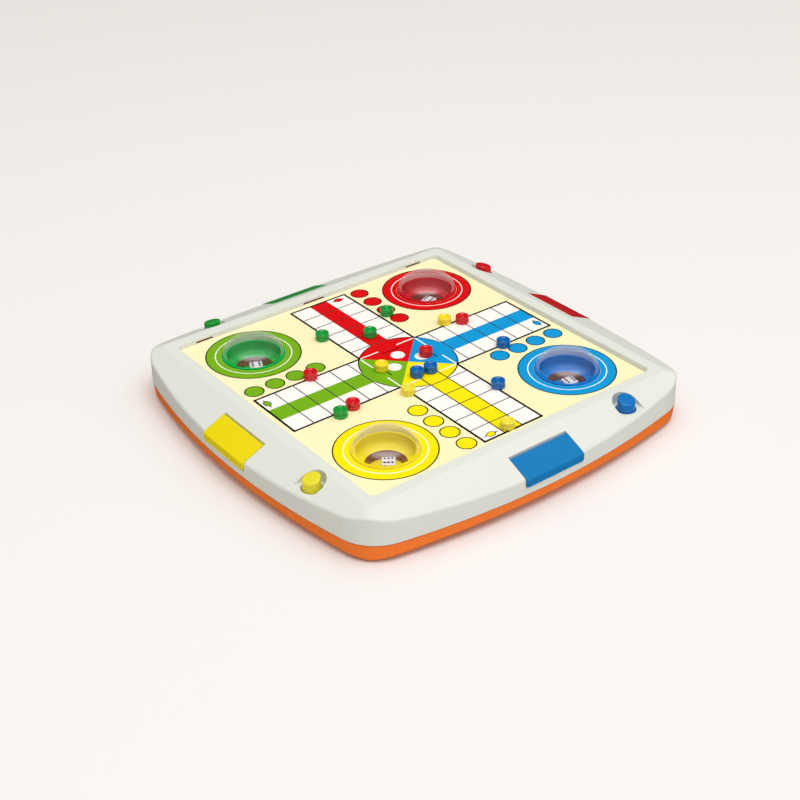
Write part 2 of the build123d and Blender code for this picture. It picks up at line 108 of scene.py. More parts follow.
def grid(points: np.ndarray, wrap_rows: bool = False, wrap_columns: bool = False) -> Shape:
    """Quads between the points of a grid.

    Args:
        points: [rows, columns, 3].
        wrap_rows: whether the last row joins the first.
        wrap_columns: whether the last column joins the first.

    Returns:
        A shape with a quad for each cell of the grid.
    """
    rows, columns = points.shape[:2]
    number = np.arange(rows * columns).reshape(rows, columns)
    if wrap_rows:
        number = np.vstack([number, number[:1]])
    if wrap_columns:
        number = np.hstack([number, number[:, :1]])
    quads = np.stack([number[:-1, :-1], number[:-1, 1:], number[1:, 1:], number[1:, :-1]], axis=-1)
    faces = quads.reshape(-1, 4).tolist()
    return Shape(points.reshape(-1, 3).astype(float), faces, [0] * len(faces))


def lathe(profile: np.ndarray, segments: int = 96) -> Shape:
    """A profile turned about the upright axis.

    A profile point (r, z) at the angle a becomes (r cos a, r sin a, z). A profile that starts
    and ends on the axis is closed there by poles, and any other is closed on itself.

    Args:
        profile: [n, 2] of radius and height.
        segments: steps round the axis.

    Returns:
        A closed surface of revolution.
    """
    angle = np.linspace(0, 2 * math.pi, segments, endpoint=False)
    poles = profile[0, 0] < TINY
    ring = profile[1:-1] if poles else profile
    points = np.stack(
        [
            ring[:, :1] * np.cos(angle),
            ring[:, :1] * np.sin(angle),
            np.repeat(ring[:, 1:], segments, axis=1),
        ],
        axis=-1,
    )
    body = grid(points, wrap_rows=not poles, wrap_columns=True)
    if not poles:
        return body
    first, last = len(body.points), len(body.points) + 1
    ends = np.array([[0, 0, profile[0, 1]], [0, 0, profile[-1, 1]]])
    step = np.arange(segments)
    after = (step + 1) % segments
    base = (len(ring) - 1) * segments
    fans = [[first, b, a] for a, b in zip(step.tolist(), after.tolist())]
    fans += [[last, base + a, base + b] for a, b in zip(step.tolist(), after.tolist())]
    return Shape(np.vstack([body.points, ends]), body.faces + fans, [0] * (len(body.faces) + len(fans)))


def rounded(corners: list[tuple[float, float, float]], steps: int = 5) -> np.ndarray:
    """A closed outline whose corners are arcs.

    At a corner with the radius r between unit directions p and q to its neighbours, the arc's
    centre is r / sin(half the angle) along p + q, and the arc runs between the two feet of
    that centre on the sides.

    Args:
        corners: x, y and radius of each corner. A radius of 0 keeps the corner.
        steps: points on each arc.

    Returns:
        The outline, [n, 2].
    """
    spots = np.array([corner[:2] for corner in corners], float)
    out = []
    for i, (x, y, radius) in enumerate(corners):
        here = np.array([x, y])
        if radius == 0:
            out.append(here[None])
            continue
        before, after = spots[i - 1] - here, spots[(i + 1) % len(spots)] - here
        before, after = before / np.linalg.norm(before), after / np.linalg.norm(after)
        half = math.acos(np.clip(before @ after, -1, 1)) / 2
        middle = (before + after) / np.linalg.norm(before + after)
        centre = here + middle * radius / math.sin(half)
        foot = here + before * radius / math.tan(half) - centre
        other = here + after * radius / math.tan(half) - centre
        share = np.linspace(0, 1, steps)[:, None]
        sweep = math.pi - 2 * half
        arc = (np.sin((1 - share) * sweep) * foot + np.sin(share * sweep) * other) / math.sin(sweep)
        out.append(centre + arc)
    return np.vstack(out)


def plate(outline: np.ndarray, low: float, high: float) -> Shape:
    """A flat plate between two heights.

    Args:
        outline: [n, 2], the plate seen from above.
        low: height of the underside.
        high: height of the top.

    Returns:
        A closed prism with one face for its top and one for its underside.
    """
    count = len(outline)
    level = np.ones((count, 1))
    rows = [np.hstack([outline, height * level]) for height in (low, high)]
    wall = grid(np.stack(rows), wrap_columns=True)
    caps = [list(range(count))[::-1], list(range(count, 2 * count))]
    return Shape(wall.points, wall.faces + caps, [0] * (count + 2))


def bar(profile: np.ndarray, half: float) -> Shape:
    """A profile of (y, z) points drawn along X from -half to half, closed at both ends."""
    upright = plate(profile, -half, half)
    return Shape(upright.points[:, [2, 0, 1]], upright.faces, upright.paint)


def circle(radius: float, segments: int = 96, x: float = 0.0, y: float = 0.0) -> np.ndarray:
    """The points of a circle about (x, y)."""
    angle = np.linspace(0, 2 * math.pi, segments, endpoint=False)
    return np.stack([x + radius * np.cos(angle), y + radius * np.sin(angle)], axis=-1)


def rectangle(x0: float, y0: float, x1: float, y1: float) -> np.ndarray:
    """The four corners of a rectangle."""
    return np.array([[x0, y0], [x1, y0], [x1, y1], [x0, y1]], float)


def ring_plate(x: float, y: float, inner: float, outer: float, low: float, high: float) -> Shape:
    """A flat ring about (x, y) between two heights."""
    profile = np.array([[inner, low], [outer, low], [outer, high], [inner, high]])
    return lathe(profile, 128).moved(x, y)


# ------------------------------------------------------------------ materials
def linear(colour: str) -> tuple[float, float, float, float]:
    """An sRGB hex colour as the linear colour that a shader takes.

    Args:
        colour: such as "#F07030".

    Returns:
        Linear red, green and blue, and an alpha of 1.
    """
    parts = [int(colour[i : i + 2], 16) / 255 for i in (1, 3, 5)]
    return tuple(c / 12.92 if c <= 0.04045 else ((c + 0.055) / 1.055) ** 2.4 for c in parts) + (1.0,)


def darker(colour: str, share: float) -> tuple[float, float, float, float]:
    """The linear colour of an sRGB hex colour, darkened by a share of itself."""
    return tuple(part * (1 - share) for part in linear(colour)[:3]) + (1.0,)


def add_node(
    tree: bpy.types.NodeTree, kind: str, settings: dict[str, object] | None = None, **inputs: object
) -> bpy.types.Node:
    """Adds a node to a material, with its settings and links.

    Args:
        tree: the material's node tree.
        kind: the node's type without its ShaderNode prefix.
        settings: attributes of the node.
        inputs: a value or an output socket for each input, whose name has _ for a space. A
            name that ends in a number, such as i1, means the input with that number.

    Returns:
        The node.
    """
    node = tree.nodes.new("ShaderNode" + kind)
    for name, value in (settings or {}).items():
        setattr(node, name, value)
    for name, value in inputs.items():
        numbered = name[0] == "i" and name[1:].isdigit()
        socket = node.inputs[int(name[1:])] if numbered else node.inputs[name.replace("_", " ")]
        if isinstance(value, bpy.types.NodeSocket):
            tree.links.new(value, socket)
        else:
            socket.default_value = value
    return node


def new_material(name: str) -> tuple[bpy.types.Material, bpy.types.NodeTree]:
    """An empty node material and its tree."""
    material = bpy.data.materials.new(name)
    material.use_nodes = True
    material.node_tree.nodes.clear()
    return material, material.node_tree


def per_mm(pitch: float) -> float:
    """Scale of a noise texture whose grains are this many millimetres apart."""
    return 1 / (pitch * MM)


@dataclass(frozen=True)
class MouldedPlastic:
    """Injection-moulded plastic: a fine spark-eroded grain and a slow drift of tone and gloss."""

    name: str
    colour: str
    roughness: float = 0.4
    grain: float = 0.9  # mm, drawn coarser than the real 0.1 so that it shows
    depth: float = 0.006  # mm
    drift: float = 0.03
    subsurface: float = 0.0
    specular: float = 0.45
    drift_pitch: float = 70.0  # mm
    gloss_drift: float = 0.12
    ior: float = 1.53
    scatter: float = 2.5  # mm

    def material(self) -> bpy.types.Material:
        """The node material."""
        material, tree = new_material(self.name)
        place = add_node(tree, "TexCoord").outputs["Object"]
        slow = add_node(tree, "TexNoise", Vector=place, Scale=per_mm(self.drift_pitch), Detail=2.0)
        fine = add_node(tree, "TexNoise", Vector=place, Scale=per_mm(self.grain), Detail=3.0)
        tone = add_node(
            tree, "Mix", {"data_type": "RGBA"}, i0=slow.outputs["Fac"],
            i6=darker(self.colour, self.drift), i7=linear(self.colour),
        )
        gloss = add_node(
            tree, "MapRange", Value=slow.outputs["Fac"], **NOISE_SPAN,
            To_Min=self.roughness * (1 - self.gloss_drift),
            To_Max=self.roughness * (1 + self.gloss_drift),
        )
        bump = add_node(tree, "Bump", Height=fine.outputs["Fac"], Distance=self.depth * MM, Strength=1.0)
        shader = add_node(
            tree, "BsdfPrincipled", Base_Color=tone.outputs[2], Roughness=gloss.outputs[0],
            Normal=bump.outputs[0], IOR=self.ior, Specular_IOR_Level=self.specular,
        )
        if self.subsurface:
            shader.inputs["Subsurface Weight"].default_value = self.subsurface
            shader.inputs["Subsurface Scale"].default_value = self.scatter * MM
        add_node(tree, "OutputMaterial", Surface=shader.outputs[0])
        return material


@dataclass(frozen=True)
class LaminatedPrint:
    """Ink on card under a clear film: flat colour, a faint fibre in it and a smooth gloss."""

    name: str
    colour: str
    fibre_pitch: float = 1.2  # mm
    fibre_tone: float = 0.04
    wave_pitch: float = 35.0  # mm
    wave_depth: float = 0.25  # mm
    wave_strength: float = 0.4
    gloss_range: tuple[float, float] = (0.28, 0.36)
    ior: float = 1.46
    specular: float = 0.2

    def material(self) -> bpy.types.Material:
        """The node material."""
        material, tree = new_material(self.name)
        place = add_node(tree, "TexCoord").outputs["Object"]
        fibre = add_node(tree, "TexNoise", Vector=place, Scale=per_mm(self.fibre_pitch), Detail=4.0)
        wave = add_node(tree, "TexNoise", Vector=place, Scale=per_mm(self.wave_pitch), Detail=1.0)
        ink = add_node(
            tree, "Mix", {"data_type": "RGBA"}, i0=fibre.outputs["Fac"],
            i6=darker(self.colour, self.fibre_tone), i7=linear(self.colour),
        )
        film = add_node(
            tree, "Bump", Height=wave.outputs["Fac"], Distance=self.wave_depth * MM,
            Strength=self.wave_strength,
        )
        gloss = add_node(
            tree, "MapRange", Value=fibre.outputs["Fac"], **NOISE_SPAN,
            To_Min=self.gloss_range[0], To_Max=self.gloss_range[1],
        )
        shader = add_node(
            tree, "BsdfPrincipled", Base_Color=ink.outputs[2], Roughness=gloss.outputs[0],
            Normal=film.outputs[0], IOR=self.ior, Specular_IOR_Level=self.specular,
        )
        add_node(tree, "OutputMaterial", Surface=shader.outputs[0])
        return material


@dataclass(frozen=True)
class ClearPolystyrene:
    """Crystal polystyrene, polished and thin: clear where it is met square on.

    The polish of its outer faces mirrors one even share of what it faces, and is rubbed a little
    dull, which gives a mirrored lamp its soft edge. A milky veil lies over the walls that are
    seen through the clear space inside, which light has crossed two faces to reach, and grows
    where a wall is met at a grazing angle. Only the camera sees the polish and the veil, so
    light reaches the cup unhindered.
    """

    name: str
    veil: str
    far_veil: float = 0.42
    edge_veil: float = 0.5
    edge_span: tuple[float, float] = (0.62, 0.98)  # of Facing, from no edge veil to all of it
    polish: float = 0.1
    roughness: float = 0.38
    rub_pitch: float = 3.0  # mm
    rub_drift: float = 0.05

    def material(self) -> bpy.types.Material:
        """The node material."""
        material, tree = new_material(self.name)
        ray = add_node(tree, "LightPath")
        seen = ray.outputs["Is Camera Ray"]
        far = add_node(
            tree, "MapRange", Value=ray.outputs["Transparent Depth"], From_Min=1.0, From_Max=2.0,
            To_Max=self.far_veil,
        )
        edge = add_node(
            tree, "MapRange", Value=add_node(tree, "LayerWeight", Blend=0.5).outputs["Facing"],
            From_Min=self.edge_span[0], From_Max=self.edge_span[1], To_Min=far.outputs[0],
            To_Max=self.edge_veil,
        )
        milk = add_node(tree, "MapRange", Value=seen, To_Min=0.0, To_Max=edge.outputs[0])
        clear = add_node(tree, "BsdfTransparent")
        veil = add_node(tree, "BsdfDiffuse", Color=linear(self.veil))
        body = add_node(tree, "MixShader", i0=milk.outputs[0], i1=clear.outputs[0], i2=veil.outputs[0])
        inside = add_node(tree, "NewGeometry").outputs["Backfacing"]
        outer = add_node(tree, "Math", {"operation": "SUBTRACT", "use_clamp": True}, i0=seen, i1=inside)
        share = add_node(tree, "MapRange", Value=outer.outputs[0], To_Min=0.0, To_Max=self.polish)
        place = add_node(tree, "TexCoord").outputs["Object"]
        rub = add_node(tree, "TexNoise", Vector=place, Scale=per_mm(self.rub_pitch), Detail=5.0)
        dull = add_node(
            tree, "MapRange", Value=rub.outputs["Fac"], **NOISE_SPAN,
            To_Min=self.roughness * (1 - self.rub_drift), To_Max=self.roughness * (1 + self.rub_drift),
        )
        gloss = add_node(tree, "BsdfGlossy", Color=WHITE_LIGHT, Roughness=dull.outputs[0])
        skin = add_node(tree, "MixShader", i0=share.outputs[0], i1=body.outputs[0], i2=gloss.outputs[0])
        add_node(tree, "OutputMaterial", Surface=skin.outputs[0])
        return material


@dataclass(frozen=True)
class PlatedSteel:
    """Zinc-plated steel: bright grey metal with a fine turned grain."""

    name: str
    colour: str
    grain_pitch: float = 0.6  # mm
    grain_depth: float = 0.01  # mm
    gloss_range: tuple[float, float] = (0.25, 0.45)

    def material(self) -> bpy.types.Material:
        """The node material."""
        material, tree = new_material(self.name)
        place = add_node(tree, "TexCoord").outputs["Object"]
        grain = add_node(tree, "TexNoise", Vector=place, Scale=per_mm(self.grain_pitch), Detail=4.0)
        gloss = add_node(
            tree, "MapRange", Value=grain.outputs["Fac"], To_Min=self.gloss_range[0],
            To_Max=self.gloss_range[1],
        )
        bump = add_node(tree, "Bump", Height=grain.outputs["Fac"], Distance=self.grain_depth * MM)
        shader = add_node(
            tree, "BsdfPrincipled", Base_Color=linear(self.colour), Metallic=1.0,
            Roughness=gloss.outputs[0], Normal=bump.outputs[0],
        )
        add_node(tree, "OutputMaterial", Surface=shader.outputs[0])
        return material


class Finish(Enum):
    """The finishes that no player owns, each with what it gives the eye."""

    # Moulded ABS of the case: a broad, weak sheen over an even colour.
    IVORY = MouldedPlastic("satin_abs_ivory", "#DFE6E1", 0.42, drift=0.02, specular=0.3)
    ORANGE = MouldedPlastic("satin_abs_orange", "#FF8226", 0.40, specular=0.3)
    # The striker and the lever: a dark red-brown with a slight sheen.
    BROWN = MouldedPlastic("striker_red_brown", "#7B3418", 0.32)
    # Tumbled urea of the dice: white, polished and slightly translucent, with matt painted pips.
    DIE = MouldedPlastic("polished_urea_white", "#E9E7EC", 0.22, depth=0.0, subsurface=0.1)
    PIP = MouldedPlastic("pip_paint_navy", "#1B1F6B", 0.35)
    # Painted shade behind the slits: a dull red-brown sheet where the inside of the case lies in shade.
    PAINTED_SLIT_SHADE = MouldedPlastic("painted_shade_slit_maroon", "#5E1A10", 0.5, specular=0.1)
    # Moulded polystyrene without much pigment: light glows through the pale tokens.
    MILKY = MouldedPlastic("milky_polystyrene_yellow_token", "#EFE54A", 0.2, depth=0.0, subsurface=0.6)
    # Drawn, plated wire and screws: a bright grey glint.
    STEEL = PlatedSteel("zinc_plated_steel", "#B8BBC0")
    # Blown dome: nearly unseen in front, with a pale far wall and a soft sheen on top.
    CLEAR = ClearPolystyrene("crystal_polystyrene", "#EEE8EC")
    # Offset inks under film: flat, even colours with a smooth gloss.
    CREAM = LaminatedPrint("print_cream", "#FFF7C8")
    WHITE = LaminatedPrint("print_white", "#FCFCFA")
    BLACK = LaminatedPrint("print_black", "#0E0D0D")
    GREY = LaminatedPrint("print_grey", "#3C3B3A")
    SKY = LaminatedPrint("print_sky", "#4FA9D8")
    LEAF = LaminatedPrint("print_leaf", "#7DB65A")
    SAND = LaminatedPrint("print_sand", "#EBC98C")
    NIGHT = LaminatedPrint("print_night", "#2C3563")
    BRICK = LaminatedPrint("print_brick", "#C4553B")


@dataclass(frozen=True)
class Player:
    """One player's corner: how far it is turned from the yellow one, and its colours."""

    name: str
    turn: float
    die_yaw: float
    ink: str
    edge_ink: str
    cup: str
    lid: str
    button: str
    token: str


class Players(Enum):
    """The four players, anticlockwise from the yellow one."""

    YELLOW = Player("yellow", 0, 143, "#FFEC00", "#2C2904", "#EEDE1E", "#F0E000", "#EAE330", "#F7E028")
    BLUE = Player("blue", 90, 82, "#009CE0", "#062C46", "#0078D0", "#007CC2", "#0074C8", "#0066B8")
    RED = Player("red", 180, 20, "#DC020C", "#3A0305", "#C80E26", "#D0282A", "#DA1420", "#D40F1E")
    GREEN = Player("green", 270, 65, "#76B51A", "#1C280E", "#00AE4A", "#3FAE52", "#1FA63A", "#0F9F3C")


MADE: dict[str, bpy.types.Material] = {}


def dressed(finish: object) -> bpy.types.Material:
    """The material of a finish, made the first time that it is asked for."""
    finish = finish.value if isinstance(finish, Finish) else finish
    if finish.name not in MADE:
        MADE[finish.name] = finish.material()
    return MADE[finish.name]


# ------------------------------------------------------------------ pieces
def make_piece(
    name: str,
    shape: Shape,
    finishes: list,
    body: str,
    replaces: tuple[str, ...] = (),
    sharp: float = 38.0,
    bevel: float = 0.0,
) -> bpy.types.Object:
    """Puts a shape into the scene as a piece of the object.

    Args:
        name: the piece's name.
        shape: its points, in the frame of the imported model, and its faces.
        finishes: one for each paint number of the shape.
        body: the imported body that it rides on.
        replaces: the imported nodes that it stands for.
        sharp: edges that turn by more than this many degrees stay sharp.
        bevel: width in millimetres of a rounding along those edges.

    Returns:
        The piece's object, at the origin.
    """
    mesh = bpy.data.meshes.new(name)
    mesh.from_pydata((shape.points * MM).tolist(), [], shape.faces)
    mesh.polygons.foreach_set("material_index", shape.paint)
    work = bmesh.new()
    work.from_mesh(mesh)
    bmesh.ops.recalc_face_normals(work, faces=work.faces)
    work.to_mesh(mesh)
    work.free()
    for finish in finishes:
        mesh.materials.append(dressed(finish))
    mesh.shade_smooth()
    piece = bpy.data.objects.new(name, mesh)
    bpy.context.scene.collection.objects.link(piece)
    if bevel:
        edge = piece.modifiers.new("rounding", "BEVEL")
        edge.width = bevel * MM
        edge.segments = 2
        edge.limit_method = "ANGLE"
        edge.angle_limit = math.radians(sharp)
        edge.harden_normals = True
    else:
        mesh.set_sharp_from_angle(angle=math.radians(sharp))
    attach(piece, body)
    if replaces:
        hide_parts(*replaces)
    LOG.info("%s: %d faces on %s", name, len(mesh.polygons), body)
    return piece


def dress_node(node: str, finish: object) -> None:
    """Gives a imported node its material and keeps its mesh.

    Args:
        node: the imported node.
        finish: its finish.
    """
    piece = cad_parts[node]
    if not piece.material_slots:
        piece.data.materials.append(None)
    for place in piece.material_slots:
        place.material = dressed(finish)


def middle(node: str) -> np.ndarray:
    """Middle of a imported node's box, in millimetres."""
    low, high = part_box(node)
    return (np.array(low) + np.array(high)) / 2 / MM


@dataclass
class Case:
    """The two shells, the screws and the two boards."""

    window_half: float = 103.2
    panel_top: float = 28.4
    slit_height: float = 2.0
    slits: tuple[tuple[float, float], ...] = ((-84.0, 12.0), (0.0, 16.0), (84.0, 12.0))
    strip_depth: float = 0.7
    strip_back: float = 0.5
    strip_play: float = 0.1

    def painted_shade_strips(self) -> Shape:
        """Painted shade: dark strips in the slits of the recess, in place of the shaded inside."""
        front = self.window_half + self.strip_back
        low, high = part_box("parchis_board")[1].z / MM, self.panel_top + self.slit_height
        strips = []
        for side in (-1, 1):
            for place, length in self.slits:
                half = length / 2 - self.strip_play
                outline = rectangle(front, -half, front + self.strip_depth, half) * (side, 1)
                strips.append(plate(outline + (0, place), low + self.strip_play, high - self.strip_play))
        return joined(strips)

    def build(self) -> None:
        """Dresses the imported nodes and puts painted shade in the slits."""
        # painted shade: dark strips in the slits, where the inside of the case lies in shade
        make_piece("painted_shade_strips", self.painted_shade_strips(), [Finish.PAINTED_SLIT_SHADE], "case")
        dress_node("top_shell", Finish.IVORY)
        dress_node("bottom_shell", Finish.ORANGE)
        dress_node("case_screws", Finish.STEEL)
        dress_node("parchis_board", Finish.CREAM)
        dress_node("track_board", Finish.WHITE)


@dataclass
class CrossPrint:
    """The cross-and-circle print on the upper board, in millimetres from its middle.

    Each ink is a thin plate, and a plate that covers another one is one film thicker. What
    belongs to one player is made for the arm along +X and turned.
    """

    film: float = 0.014
    arm_half: float = 21.4
    arm_end: float = 98.5
    column_half: float = 6.6
    column_end: float = 18.1
    cell_line: float = 0.7
    edge_line: float = 1.5
    thin_line: float = 0.8
    circle_radius: float = 30.3
    cell: float = 13.35
    first_cell: float = 31.3
    cup_place: float = 69.0
    ring_outer: float = 29.4
    ring_inner: float = 20.3
    ring_line: float = 23.9
    ring_line_half: float = 0.33
    home_radius: float = 5.4
    home_off: float = 30.3
    home_first: float = 48.5
    home_step: float = 14.8
    disc_radius: float = 4.5
    disc_place: float = 10.6
    mark_half: float = 0.5
    mark_gap: float = 0.6
    arrow_place: tuple[float, float] = (94.4, -13.6)
    arrow_body: tuple[float, float, float] = (3.1, 1.1, 1.8)
    arrow_line: float = 4.9
    arrow_line_half: float = 0.32
    arrow_swell: float = 1.28

    def board_top(self) -> float:
        """Height of the upper board's face."""
        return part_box("parchis_board")[1].z / MM

    def layer(self, outline: np.ndarray, films: int) -> Shape:
        """A printed area, this many films above the board."""
        top = self.board_top()
        return plate(outline, top, top + films * self.film)

    def band(self, x: float, y: float, inner: float, outer: float, films: int) -> Shape:
        """A printed ring about (x, y), this many films above the board."""
        top = self.board_top()
        return ring_plate(x, y, inner, outer, top, top + films * self.film)

    def cells(self) -> Shape:
        """The white ground of the four arms."""
        half, end = self.arm_half, self.arm_end
        areas = [(-end, -half, end, half), (-half, -end, half, -half), (-half, half, half, end)]
        return joined([self.layer(rectangle(*area), 1) for area in areas])

    def build(self) -> None:
        """Builds one piece for each ink of each player, and one for each common ink."""
        make_piece("cell_print", self.cells(), [Finish.WHITE], "case")
        blacks, greys, whites = [], [], []
        for player in [p.value for p in Players]:
            fill = [self.sector(), self.column(), *self.rings(), *self.homes(), self.arrow(1.0, 4)]
            edge = [*self.outlines(), self.arrow(self.arrow_swell, 3), self.arrow_spine()]
            if player.name == "yellow":
                edge += self.column_edges()
            self.inked(f"{player.name}_print", fill, player.turn, player.ink)
            self.inked(f"{player.name}_edge_print", edge, player.turn, player.edge_ink)
            blacks.append(joined(self.arm_edges()).turned(player.turn))
            greys.append(joined(self.cell_lines()).turned(player.turn))
            whites.append(joined(self.white_marks()).turned(player.turn))
        make_piece("outline_print", joined(blacks), [Finish.BLACK], "case")
        make_piece("cell_line_print", joined(greys), [Finish.GREY], "case")
        make_piece("white_mark_print", joined(whites), [Finish.WHITE], "case")

    def inked(self, name: str, shapes: list[Shape], turn: float, colour: str) -> None:
        """Makes one piece of the print in an ink of its own, turned to a player's arm."""
        ink = LaminatedPrint(name, colour)
        make_piece(name, joined(shapes).turned(turn), [ink], "case")

    def arc(self, radius: float) -> np.ndarray:
        """A quarter of a circle about the middle of the board, from -45 to 45 degrees."""
        angle = np.linspace(-math.pi / 4, math.pi / 4, 33)
        return radius * np.stack([np.cos(angle), np.sin(angle)], axis=-1)

    def sector(self) -> Shape:
        """A quarter of the middle circle."""
        return self.layer(np.vstack([[0, 0], self.arc(self.circle_radius)]), 2)

    def column(self) -> Shape:
        """The coloured middle column of an arm."""
        return self.layer(rectangle(self.column_end, -self.column_half, self.arm_end, self.column_half), 3)

    def rings(self) -> list[Shape]:
        """The wide and the narrow band of the printed ring round a dome."""
        place, line, half = self.cup_place, self.ring_line, self.ring_line_half
        spans = ((line + half, self.ring_outer), (self.ring_inner, line - half))
        return [self.band(place, -place, *span, 2) for span in spans]

    def home_spots(self) -> list[tuple[float, float]]:
        """The middles of a player's four home discs."""
        return [(self.home_first + self.home_step * step, -self.home_off) for step in range(4)]

    def homes(self) -> list[Shape]:
        """The four home discs of a player."""
        return [self.layer(circle(self.home_radius, 64, *spot), 2) for spot in self.home_spots()]

    def outlines(self) -> list[Shape]:
        """The dark outlines of the home discs, of the dome's ring and of the sector."""
        place, line = self.cup_place, self.thin_line
        ring = self.band(place, -place, self.ring_outer, self.ring_outer + line, 2)
        inner, outer = self.home_radius, self.home_radius + line
        discs = [self.band(*spot, inner, outer, 2) for spot in self.home_spots()]
        rim = np.vstack([self.arc(self.circle_radius), self.arc(self.circle_radius + line)[::-1]])
        end, half = self.column_end, self.column_half
        head = rectangle(end - line, -half, end, half)
        return [ring, *discs, self.layer(rim, 2), self.layer(head, 4)]

    def column_edges(self) -> list[Shape]:
        """Dark lines along both sides of the coloured column."""
        near, far, line = self.column_end, self.arm_end, self.thin_line / 2
        sides = (-self.column_half, self.column_half)
        return [self.layer(rectangle(near, side - line, far, side + line), 4) for side in sides]

    def arrow(self, scale: float, films: int) -> Shape:
        """The body of the arrow in the corner cell, along +Y: a stretched hexagon."""
        tip, shoulder, wing = self.arrow_body
        half = [(-wing, shoulder), (-wing, -shoulder), (0, -tip)]
        outline = [(0, tip), *half, *[(-x, y) for x, y in half[1::-1]]]
        return self.layer(scale * np.array(outline) + self.arrow_place, films)

    def arrow_spine(self) -> Shape:
        """The dark line through the arrow, which stands out at its tip and its tail."""
        x, y = self.arrow_place
        half, reach = self.arrow_line_half, self.arrow_line
        return self.layer(rectangle(x - half, y - reach, x + half, y + reach), 2)

    def arm_edges(self) -> list[Shape]:
        """The black outline of an arm: its two sides and its end."""
        half, end, wide = self.arm_half, self.arm_end, self.edge_line / 2
        sides = [rectangle(half, side - wide, end + wide, side + wide) for side in (-half, half)]
        head = rectangle(end - wide, -half - wide, end + wide, half + wide)
        return [self.layer(outline, 4) for outline in (*sides, head)]

    def cell_lines(self) -> list[Shape]:
        """The thin lines between the cells of an arm."""
        half, wide = self.arm_half, self.cell_line / 2
        places = [self.first_cell + self.cell * step for step in range(5)]
        return [self.layer(rectangle(x - wide, -half, x + wide, half), 5) for x in places]

    def white_marks(self) -> list[Shape]:
        """The white ring round a dome, the lines beside the column and the disc in the sector."""
        place, line, half = self.cup_place, self.ring_line, self.ring_line_half
        near, far = self.arm_half - self.mark_half, self.arm_half + self.mark_half
        low, high = self.column_half + self.mark_gap, self.arm_half
        lines = [self.layer(rectangle(near, side * low, far, side * high), 4) for side in (-1, 1)]
        disc = self.layer(circle(self.disc_radius, 48, self.disc_place), 3)
        return [self.band(place, -place, line - half, line + half, 2), *lines, disc]


@dataclass
class TrackPrint:
    """The print on the lower board: three square rings of cells round a plain middle.

    The cells lie on a lattice, and a ring is the cells whose larger lattice number is the same.
    A cell's ink follows its step round the ring, and a disc or a lozenge stands in the middle of
    every other cell.
    """

    film: float = 0.014
    pitch: float = 21.4
    gap: float = 1.0
    reach: int = 4
    rings: int = 3
    inks: tuple[Finish, ...] = (Finish.SKY, Finish.SAND, Finish.NIGHT, Finish.LEAF, Finish.BRICK)
    disc_share: float = 0.45  # of half a cell
    lozenge_share: float = 0.55
    sun_share: float = 0.7  # of the plain middle
    star_share: float = 0.35

    def layer(self, outline: np.ndarray, films: int) -> Shape:
        """A printed area, this many films below the board."""
        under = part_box("track_board")[0].z / MM
        return plate(outline, under - films * self.film, under)

    def ring_cells(self, reach: int) -> list[tuple[int, int]]:
        """The lattice places of one ring, in order round it."""
        side = range(-reach, reach)
        return (
            [(i, -reach) for i in side] + [(reach, i) for i in side]
            + [(-i, reach) for i in side] + [(-reach, -i) for i in side]
        )

    def build(self) -> None:
        """Builds one piece for each ink."""
        half = (self.pitch - self.gap) / 2
        square = rectangle(-half, -half, half, half)
        marks = (circle(half * self.disc_share, 32), circle(half * self.lozenge_share, 4))
        areas = [[] for _ in self.inks]
        steps = [spot for ring in range(self.rings) for spot in self.ring_cells(self.reach - ring)]
        for step, spot in enumerate(steps):
            place = np.array(spot) * self.pitch
            areas[step % len(areas)].append(self.layer(square + place, 1))
            if step % 2:
                areas[(step + 2) % len(areas)].append(self.layer(marks[step // 2 % 2] + place, 2))
        inner = (self.reach - self.rings + 0.5) * self.pitch - self.gap / 2
        areas[0].append(self.layer(rectangle(-inner, -inner, inner, inner), 1))
        areas[1].append(self.layer(circle(inner * self.sun_share, 64), 2))
        areas[4].append(self.layer(circle(inner * self.star_share, 4), 3))
        for ink, shapes in zip(self.inks, areas):
            make_piece(f"track_{ink.name.lower()}_print", joined(shapes), [ink], "case")


